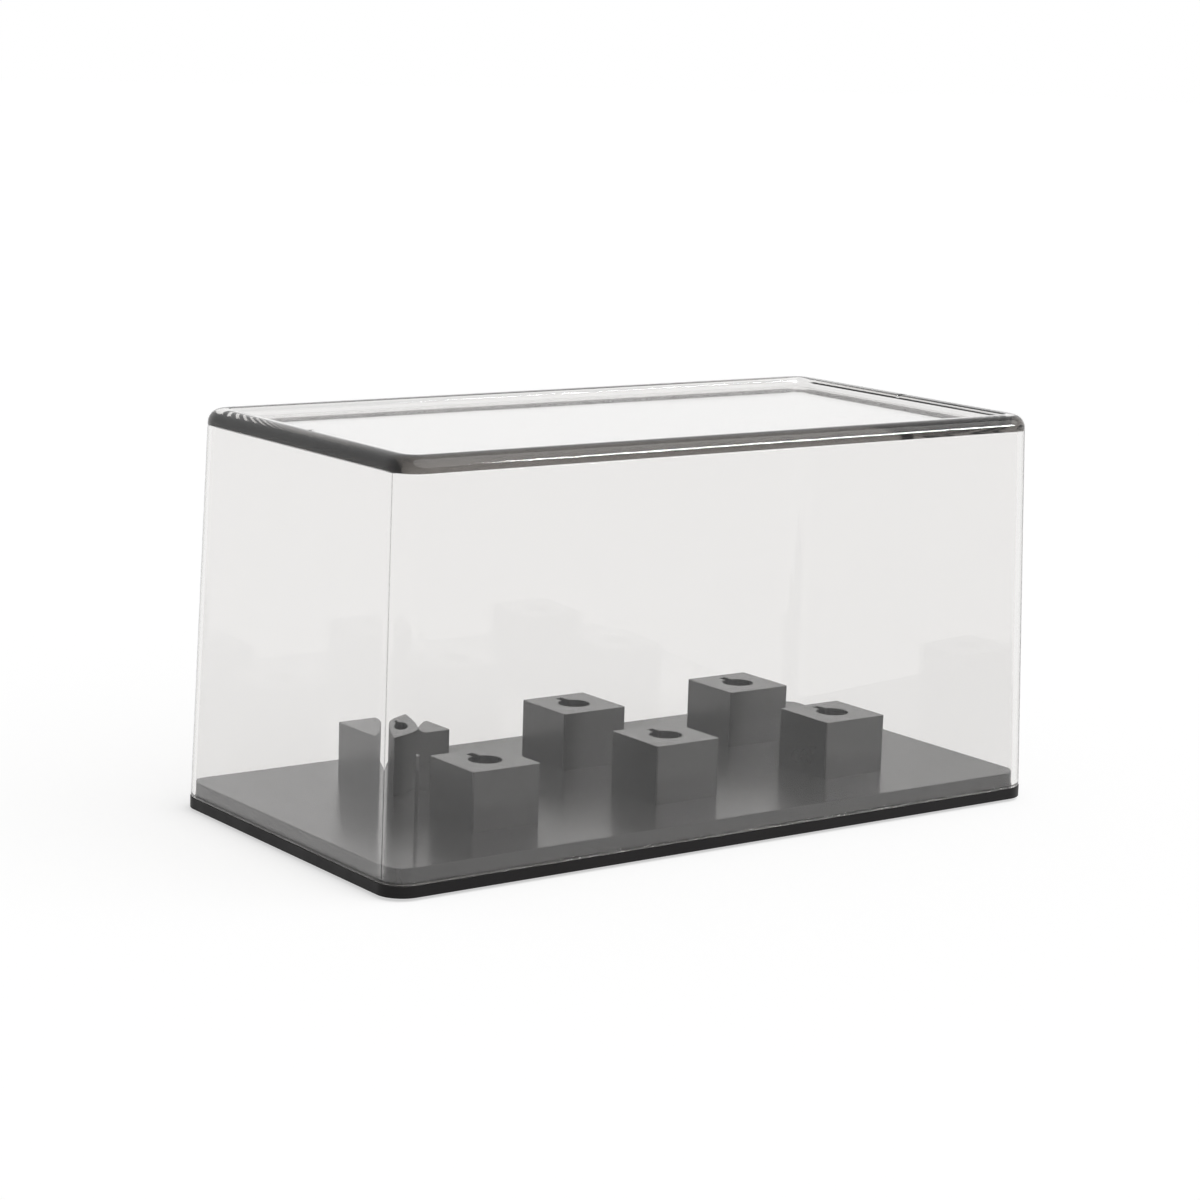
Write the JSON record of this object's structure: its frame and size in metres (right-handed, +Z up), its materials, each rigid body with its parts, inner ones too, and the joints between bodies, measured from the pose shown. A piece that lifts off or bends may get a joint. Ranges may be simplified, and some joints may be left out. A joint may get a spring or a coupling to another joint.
{
  "type": "cartridge storage box",
  "caption": "Low black base with square socket posts for plug-in turntable headshells, under a clear rounded dust cover with a raised top rim that lifts straight off.",
  "frame": {"origin": "middle of the box's footprint, on the plane that the feet stand on", "axes": "+X along the box's length, -Y towards the front, so the key notches of the sockets are on +Y, +Z up, the way the cover lifts off"},
  "size_m": [0.1966, 0.1, 0.1012],
  "materials": {
    "clear_plastic": "clear, polished",
    "black_plastic": "satin",
    "grey_plastic": "satin",
    "plated_steel": "zinc plated",
    "rubber": "matt"
  },
  "bodies": {
    "holder": {"base": "black_plastic", "holder_plate": "grey_plastic", "post_front_left": "grey_plastic", "post_front_middle": "grey_plastic", "post_front_right": "grey_plastic", "post_back_left": "grey_plastic", "post_back_middle": "grey_plastic", "post_back_right": "grey_plastic", "screw_front_left": "plated_steel", "screw_front_middle": "plated_steel", "screw_front_right": "plated_steel", "screw_back_left": "plated_steel", "screw_back_middle": "plated_steel", "screw_back_right": "plated_steel", "foot_front_left": "rubber", "foot_front_right": "rubber", "foot_back_left": "rubber", "foot_back_right": "rubber"},
    "cover": {"dust_cover": "clear_plastic"}
  },
  "joints": [
    {"name": "cover_lift", "type": "slide", "parent": "holder", "child": "cover", "axis": [0, 0, 1], "range_m": [0, 0.11]}
  ]
}
